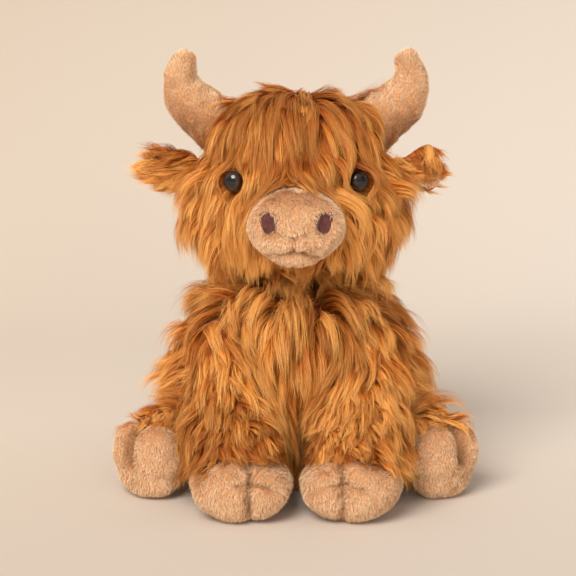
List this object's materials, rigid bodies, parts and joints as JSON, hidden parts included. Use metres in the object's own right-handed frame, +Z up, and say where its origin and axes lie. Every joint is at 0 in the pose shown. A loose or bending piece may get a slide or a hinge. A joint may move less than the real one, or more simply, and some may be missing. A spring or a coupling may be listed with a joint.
{
  "type": "plush cow",
  "caption": "Seated plush cow with long shaggy fur, curved short-plush horns, a soft muzzle, glossy eyes and cloven plush hooves.",
  "frame": {"origin": "on the floor under the middle of the seat", "axes": "+Z up, the cow faces -Y, its left side is +X"},
  "size_m": [0.2482, 0.2254, 0.2983],
  "materials": {
    "long_pile": "long ginger pile, soft sheen",
    "dark_pile": "long rust-brown pile",
    "short_pile": "short beige plush",
    "dark_cloth": "smooth maroon cloth",
    "thread": "sewing thread",
    "fibre_fill": "loose polyester fibre",
    "bead_pouch": "plain woven pouch",
    "eye_plastic": "polished",
    "washer_plastic": "moulded"
  },
  "bodies": {
    "torso": {"body_cover": "long_pile", "body_stuffing": "fibre_fill", "seat_bean_bag": "bead_pouch"},
    "head": {"head_cover": "long_pile", "head_stuffing": "fibre_fill", "muzzle_cover": "short_pile", "muzzle_stuffing": "fibre_fill", "mouth_stitch": "thread", "nostril_patch_left": "dark_cloth", "nostril_patch_right": "dark_cloth", "eye_left": "eye_plastic", "eye_right": "eye_plastic", "eye_washer_left": "washer_plastic", "eye_washer_right": "washer_plastic", "horn_cover_left": "short_pile", "horn_cover_right": "short_pile", "horn_stuffing_left": "fibre_fill", "horn_stuffing_right": "fibre_fill"},
    "ear_left": {"ear_outer_left": "long_pile", "ear_lining_left": "short_pile"},
    "ear_right": {"ear_outer_right": "long_pile", "ear_lining_right": "short_pile"},
    "front_leg_left": {"front_leg_cover_left": "long_pile", "front_leg_stuffing_left": "fibre_fill", "front_hoof_cover_left": "short_pile", "front_hoof_stuffing_left": "fibre_fill", "front_toe_stitch_left": "thread"},
    "front_leg_right": {"front_leg_cover_right": "long_pile", "front_leg_stuffing_right": "fibre_fill", "front_hoof_cover_right": "short_pile", "front_hoof_stuffing_right": "fibre_fill", "front_toe_stitch_right": "thread"},
    "rear_leg_left": {"rear_leg_cover_left": "long_pile", "rear_leg_stuffing_left": "fibre_fill", "rear_hoof_cover_left": "short_pile", "rear_hoof_stuffing_left": "fibre_fill", "rear_toe_stitch_left": "thread"},
    "rear_leg_right": {"rear_leg_cover_right": "long_pile", "rear_leg_stuffing_right": "fibre_fill", "rear_hoof_cover_right": "short_pile", "rear_hoof_stuffing_right": "fibre_fill", "rear_toe_stitch_right": "thread"},
    "tail": {"tail_cord": "long_pile", "tail_tuft": "dark_pile"}
  },
  "joints": [
    {"name": "head_nod", "type": "hinge", "parent": "torso", "child": "head", "pos_m": [0, 0.002, 0.118], "axis": [1, 0, 0], "range_deg": [-10, 12], "stiffness_Nm_per_rad": 1, "springref_deg": -1.32},
    {"name": "ear_left_flop", "type": "hinge", "parent": "head", "child": "ear_left", "pos_m": [0.06894, 0, 0.214], "axis": [0, 1, 0], "range_deg": [-15, 20], "stiffness_Nm_per_rad": 0.02},
    {"name": "ear_right_flop", "type": "hinge", "parent": "head", "child": "ear_right", "pos_m": [-0.06894, 0, 0.214], "axis": [0, -1, 0], "range_deg": [-15, 20], "stiffness_Nm_per_rad": 0.02},
    {"name": "front_leg_left_swing", "type": "hinge", "parent": "torso", "child": "front_leg_left", "pos_m": [0.05, -0.044, 0.104], "axis": [-1, 0, 0], "range_deg": [0, 50], "stiffness_Nm_per_rad": 0.15},
    {"name": "front_leg_right_swing", "type": "hinge", "parent": "torso", "child": "front_leg_right", "pos_m": [-0.05, -0.044, 0.104], "axis": [-1, 0, 0], "range_deg": [0, 50], "stiffness_Nm_per_rad": 0.15},
    {"name": "rear_leg_left_swing", "type": "hinge", "parent": "torso", "child": "rear_leg_left", "pos_m": [0.062, -0.016, 0.034], "axis": [0, 0, 1], "range_deg": [0, 25], "stiffness_Nm_per_rad": 0.15},
    {"name": "rear_leg_right_swing", "type": "hinge", "parent": "torso", "child": "rear_leg_right", "pos_m": [-0.062, -0.016, 0.034], "axis": [0, 0, -1], "range_deg": [0, 25], "stiffness_Nm_per_rad": 0.15},
    {"name": "tail_lift", "type": "hinge", "parent": "torso", "child": "tail", "pos_m": [0, 0.07313, 0.052], "axis": [1, 0, 0], "range_deg": [0, 70]}
  ]
}
